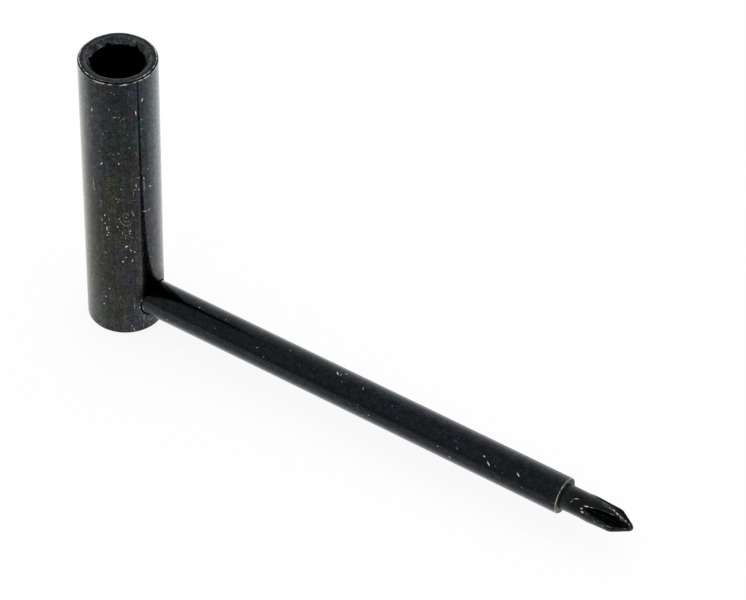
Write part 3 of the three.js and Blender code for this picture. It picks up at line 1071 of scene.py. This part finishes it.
# Colours of the oxide film, and its soft patches, also read off: the angle round
# the piece, the place along it, half the patch's width and length, and its colour.
FILM = (0.027, 0.027, 0.0255, 1)
TEAL = (0.015, 0.031, 0.032, 1)
SEA_GREEN = (0.011, 0.034, 0.028, 1)
BLUE = (0.0195, 0.0255, 0.042, 1)
VIOLET = (0.027, 0.0215, 0.038, 1)
PINK = (0.037, 0.0225, 0.031, 1)
OLIVE = (0.03, 0.03, 0.0175, 1)
GREEN = (0.0245, 0.0305, 0.019, 1)
BROWN = (0.0345, 0.0285, 0.0195, 1)
PALE_VIOLET = (0.027, 0.0245, 0.0305, 1)
PALE_BLUE = (0.0245, 0.0275, 0.029, 1)
BARREL_PATCHES = [
    (-20, 50.5, 3, 1.5, BLUE), (-15, 46.5, 2.2, 2.2, TEAL), (-20, 40.5, 2.4, 5.5, SEA_GREEN),
    (-36, 46, 1, 1.2, PINK), (-58, 50, 1, 2, VIOLET), (-88, 41.5, 3, 3.5, BLUE), (-82, 36, 2.2, 5, BLUE),
    (-76, 48, 1.5, 3, BLUE), (-104, 49, 2, 3, TEAL), (-57, 40.5, 1.5, 2.5, SEA_GREEN),
    (-44, 36.5, 1.5, 1.8, BROWN), (-32, 35, 1.8, 3, OLIVE), (-55, 32.5, 3, 2, GREEN),
    (-68, 28.5, 1.8, 2.4, OLIVE), (-45, 29, 1.5, 2.5, OLIVE), (-25, 29, 1.6, 2.4, VIOLET),
    (-12, 32.5, 1.2, 1, BLUE), (-2, 29, 1.5, 1.5, GREEN), (-20, 23.5, 2, 4, VIOLET),
    (-8, 26, 1, 1.2, PINK), (-8, 21, 1.5, 1.5, PINK), (-60, 24, 2.5, 2.5, GREEN),
    (-35, 21.5, 1.5, 2.5, OLIVE), (-60, 20.5, 2, 1.8, BROWN), (-35, 12, 1.5, 4, OLIVE),
    (-48, 11.5, 1.5, 2.5, VIOLET), (-55, 17, 1, 1, BLUE), (-68, 15, 2, 1.5, OLIVE),
    (-68, 11, 1.6, 1.2, OLIVE), (-82, 17, 1.6, 8, GREEN), (-103, 4.5, 1.5, 2, TEAL),
    (-65, 6, 1.8, 1.8, OLIVE), (-78, 3, 1.5, 1.2, GREEN), (-30, 2.5, 2, 2, VIOLET),
    (-15, 1.5, 1.5, 1, VIOLET), (180, 52.5, 4, 0.9, PALE_VIOLET), (95, 52.5, 5, 0.9, PALE_BLUE),
]

ROD_FILM = (0.0155, 0.0165, 0.021, 1)
ROD_TEAL = (0.009, 0.019, 0.0225, 1)
ROD_BLUE = (0.0135, 0.016, 0.0265, 1)
ROD_VIOLET = (0.0185, 0.0155, 0.0265, 1)
ROD_PAINTED_REFLECTION = (0.001, 0.006, 0.013, 1)
ROD_OLIVE = (0.034, 0.034, 0.016, 1)
ROD_PATCHES = [
    (150, 12, 1.5, 1.2, ROD_TEAL), (150, 21, 1.5, 2, ROD_TEAL), (140, 28, 1.2, 1.5, ROD_TEAL),
    (150, 33, 1.2, 2, ROD_TEAL), (100, 27, 1, 1.5, ROD_VIOLET), (100, 31, 1, 1.2, ROD_BLUE),
    (110, 36, 1.5, 1, ROD_TEAL), (140, 38.5, 2.5, 1.5, ROD_BLUE), (145, 42, 1, 1, ROD_TEAL),
    (110, 43.5, 1.5, 1.5, ROD_VIOLET), (140, 48, 2, 3, ROD_TEAL), (110, 51, 2, 1.5, ROD_TEAL),
    (115, 54, 1.5, 1.5, ROD_VIOLET), (150, 55.5, 1, 1, ROD_TEAL), (110, 57, 1, 1, ROD_BLUE),
    (110, 60.5, 1.5, 1.5, ROD_BLUE), (155, 60, 1.2, 2.5, ROD_TEAL), (120, 64, 1, 1, ROD_VIOLET),
    (120, 67, 2, 2.5, ROD_BLUE), (95, 70.5, 1, 1, ROD_VIOLET), (120, 73, 2, 1.5, ROD_VIOLET),
    (110, 78, 1.8, 2.5, ROD_TEAL), (150, 76, 1, 1.5, ROD_VIOLET), (120, 82, 2, 1, ROD_BLUE),
    # The first entry below is a painted reflection: a near-black stripe along most of the rod at one angle
    # round it.
    (154, 46, 0.4, 26, ROD_PAINTED_REFLECTION), (60, 83.6, 9, 0.25, ROD_OLIVE), (240, 83.6, 9, 0.25, ROD_OLIVE),
]

BIT_FILM = (0.01, 0.011, 0.012, 1)
BIT_WARM = (0.016, 0.013, 0.012, 1)
BIT_RUST = (0.036, 0.025, 0.011, 1)
BIT_WORN = (0.3, 0.29, 0.27, 1)
BIT_PATCHES = [
    (90, 95.1, 1.6, 0.8, BIT_RUST), (98, 93.9, 0.14, 1.1, BIT_WORN), (93, 91.6, 0.06, 1.2, BIT_WORN),
]

BARREL_LOOK = {
    "name": "barrel_steel",
    "film": FILM,
    "patches": BARREL_PATCHES,
    "scratches": BARREL_SCRATCHES_IN_PIXELS,
    "pixels_per_mm": 6.45,
    "nicks": LEAD_IN_NICKS,
    "seed": 4.0,
    "stretch": (1, 1, 1 / 24),
    "tints": [VIOLET, TEAL, OLIVE],
    "tint_scale": 0.5,
    "streak_scale": 2.2,
    "streaks": 0.6,
    "streak_depth": 0.6,
    "mottle": 0.6,
    "grain": 0.8,
    "roughness": 0.2,
    "bump": 0.018 * MM,
    "coat": 0.95,
    "coat_roughness": 0.07,
    "wear": 0.5,
    "dashes": [((0, 0, 0), (1, 1, 0.6), 0.42, 0.9), ((0.7, 0.4, 0.2), (1, 1, 0.35), 0.7, 0.6),
               ((0.2, 1.2, 0.9), (1, 0.4, 1), 0.9, 0.6)],
    "edges": barrel_edges,
    "painted_shade": barrel_painted_shade,
    "matt": barrel_matt,
}

ROD_LOOK = {
    "name": "rod_steel",
    "film": ROD_FILM,
    "patches": ROD_PATCHES,
    "scratches": ROD_SCRATCHES_IN_PIXELS,
    "pixels_per_mm": 6.7,
    "nicks": [],
    "seed": 40.0,
    "stretch": (1 / 16, 1, 1),
    "tints": [ROD_TEAL, ROD_VIOLET],
    "tint_scale": 0.5,
    "streak_scale": 2.0,
    "streaks": 0.2,
    "streak_depth": 0.4,
    "mottle": 0.6,
    "grain": 0.75,
    "roughness": 0.24,
    "bump": 0.005 * MM,
    "coat": 1.0,
    "coat_roughness": 0.11,
    "wear": 0.35,
    "dashes": [((0, 0, 0), (0.6, 1, 1), 0.45, 0.5), ((0.3, 0.5, 0.8), (1, 0.4, 1), 0.8, 0.4)],
    "edges": rod_edges,
    "painted_shade": rod_painted_shade,
    "matt": rod_matt,
}

BIT_LOOK = {
    "name": "bit_steel",
    "film": BIT_FILM,
    "patches": BIT_PATCHES,
    "scratches": BIT_SCRATCHES_IN_PIXELS,
    "pixels_per_mm": 6.7,
    "nicks": FLUTE_NICKS,
    "seed": 70.0,
    "stretch": (1 / 6, 1, 1),
    "tints": [BIT_WARM],
    "tint_scale": 0.6,
    "streak_scale": 3.0,
    "streaks": 0.25,
    "streak_depth": 0.4,
    "mottle": 0.5,
    "grain": 0.7,
    "roughness": 0.24,
    "bump": 0.01 * MM,
    "coat": 1.0,
    "coat_roughness": 0.1,
    "wear": 0.6,
    "dashes": [((0.3, 0.5, 0.8), (1, 0.5, 1), 1.0, 0.18)],
    "edges": bit_edges,
    "painted_shade": bit_painted_shade,
    "matt": bit_matt,
}


def build_camera():
    data = bpy.data.cameras.new("camera")
    data.sensor_fit = "HORIZONTAL"
    data.sensor_width = CAMERA_SENSOR
    data.lens = CAMERA_LENS
    data.clip_start = 0.01
    data.clip_end = 20
    camera = add_object("camera", data)
    camera.matrix_world = Matrix.Translation(CAMERA_PLACE * MM) @ camera_turn().to_4x4()
    bpy.context.scene.camera = camera


# The stage is a white sweep. What the steel mirrors is brightest behind the wrench and
# darkest above and in front of it, as under light from behind and from the sides: in
# the sky by the world's light, and on the floor by painted shade in its colour for glossy rays.
FLOOR_SIZE = 3.0
FLOOR_DROP = 0.02 * MM
FLOOR_WHITE = 1.0
FLOOR_WASH = 0.88
SKY_FILL = 0.9
LAMP_POWER = 1.7
LAMP_SIZE = 1.2
LAMP_PLACE = Vector((-0.35, 0.45, 0.9))
TOWARD_CAMERA = Vector((0.536, -0.844, 0))
TOWARD_RIGHT = Vector((0.844, 0.536, 0))
WARM_SIDE = (0.99, 1.0, 0.94, 1)
COOL_SIDE = (0.92, 0.96, 1.0, 1)
TINT_REACH = 14
MIRRORED_BACK = 0.92
MIRRORED_FRONT = 0.52
MIRRORED_FAR = 0.24
MIRRORED_BY_ROD = 0.88
MIRRORED_DARK = (0.2, 0.222, 0.25, 1)
MIRRORED_HORIZON = (0.7, 0.72, 0.73, 1)
# Where the mirrored floor changes, in millimetres towards the camera, aside from the
# rod and out from the barrel's axis, and how the mirrored sky rises to the back.
NEAR_RAMP = (-25, 20)
FAR_RAMP = (22, 105)
BY_ROD_RAMP = (16, 1.5)
PAST_BARREL_RAMP = (4, 9)
SKY_START = 0.3
SKY_POWER = 1.6


def side_tint(tree, aside):
    return mix(tree, step(tree, aside, -1, 1), WARM_SIDE, COOL_SIDE)


def painted_floor_shade(tree, place):
    """Painted shade and light on the floor, in the colour that the steel mirrors: white
    behind the wrench and close beside the rod, and darker the further it lies towards the camera."""
    front = vector(tree, "DOT_PRODUCT", place, TOWARD_CAMERA)
    near = step(tree, front, *NEAR_RAMP, MIRRORED_BACK, MIRRORED_FRONT)
    far = step(tree, front, *FAR_RAMP, 1, MIRRORED_FAR / MIRRORED_FRONT)
    level = times(tree, near, far)
    from_rod = calc(tree, "ABSOLUTE", axis(tree, place, "Y"))
    by_rod = step(tree, from_rod, *BY_ROD_RAMP, 0, MIRRORED_BY_ROD)
    past_barrel = step(tree, axis(tree, place, "X"), *PAST_BARREL_RAMP)
    return most(tree, level, times(tree, by_rod, past_barrel))


def floor_material():
    material, tree = new_tree("white_sweep")
    rays = node(tree, "ShaderNodeLightPath")
    place = place_in_mm(tree)
    aside = vector(tree, "DOT_PRODUCT", place, TOWARD_RIGHT / TINT_REACH)
    shade_here = vector(tree, "MULTIPLY", (1, 1, 1), painted_floor_shade(tree, place))
    mirrored = mix(tree, 1.0, side_tint(tree, aside), shade_here, "MULTIPLY")
    # Glossy rays see the floor in its painted shade; the camera sees it white.
    color = mix(tree, rays.outputs["Is Glossy Ray"], grey(FLOOR_WHITE), mirrored)
    lit = node(tree, "ShaderNodeBsdfDiffuse", {"Color": color}).outputs[0]
    glow = node(tree, "ShaderNodeEmission", {"Color": color}).outputs[0]
    seen = most(tree, rays.outputs["Is Camera Ray"], rays.outputs["Is Glossy Ray"])
    washed = times(tree, seen, FLOOR_WASH)
    shader = node(tree, "ShaderNodeMixShader", {0: washed, 1: lit, 2: glow})
    node(tree, "ShaderNodeOutputMaterial", {"Surface": shader.outputs[0]})
    return material


def build_floor():
    half = FLOOR_SIZE / 2
    sides = [(-half, -half), (half, -half), (half, half), (-half, half)]
    mesh = bpy.data.meshes.new("floor")
    mesh.from_pydata([(x, y, -FLOOR_DROP) for x, y in sides], [], [(0, 1, 2, 3)])
    mesh.materials.append(floor_material())
    floor = add_object("floor", mesh)


def build_lamp():
    data = bpy.data.lights.new("soft_box", "AREA")
    data.shape = "DISK"
    data.size = LAMP_SIZE
    data.energy = LAMP_POWER
    lamp = add_object("soft_box", data)
    lamp.location = LAMP_PLACE
    lamp.rotation_euler = LAMP_PLACE.to_track_quat("Z", "Y").to_euler()
    lamp.visible_glossy = False


def build_world():
    world = bpy.data.worlds.new("white_tent")
    bpy.context.scene.world = world
    world.use_nodes = True
    tree = world.node_tree
    tree.nodes.clear()
    rays = node(tree, "ShaderNodeLightPath")
    direction = node(tree, "ShaderNodeTexCoord").outputs["Generated"]
    backward = vector(tree, "DOT_PRODUCT", direction, -TOWARD_CAMERA)
    aside = vector(tree, "DOT_PRODUCT", direction, TOWARD_RIGHT)
    rise = calc(tree, "SUBTRACT", backward, SKY_START)
    rise = calc(tree, "DIVIDE", rise, 1 - SKY_START, clamp=True)
    rise = calc(tree, "POWER", rise, SKY_POWER)
    level = mix(tree, rise, MIRRORED_DARK, MIRRORED_HORIZON)
    mirrored = mix(tree, 1.0, side_tint(tree, aside), level, "MULTIPLY")
    color = mix(tree, rays.outputs["Is Glossy Ray"], grey(SKY_FILL), mirrored)
    seen = most(tree, rays.outputs["Is Camera Ray"], rays.outputs["Is Transmission Ray"])
    color = mix(tree, seen, color, grey(1))
    shader = node(tree, "ShaderNodeBackground", {"Color": color, "Strength": 1.0})
    node(tree, "ShaderNodeOutputWorld", {"Surface": shader.outputs[0]})


def dress(piece, cad_node, look, radius_at):
    stain(piece, look["film"], look["patches"], radius_at)
    scale = look["pixels_per_mm"]
    nicks = [scratch(piece, mark, radius_at, scale) for mark in look["scratches"]]
    mark_nicks(piece, nicks + look["nicks"], radius_at)
    piece.data.materials.clear()
    piece.data.materials.append(steel(look))
    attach(piece, "root")
    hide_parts(cad_node)


dress(build_barrel(), "socket_barrel", BARREL_LOOK, lambda along: BARREL_RADIUS)
dress(build_rod(), "handle_rod", ROD_LOOK, lambda along: ROD_RADIUS)
dress(build_bit(), "phillips_bit", BIT_LOOK, bit_blank_radius)
build_floor()
build_lamp()
build_world()
build_camera()
bpy.context.scene.view_settings.view_transform = "Standard"
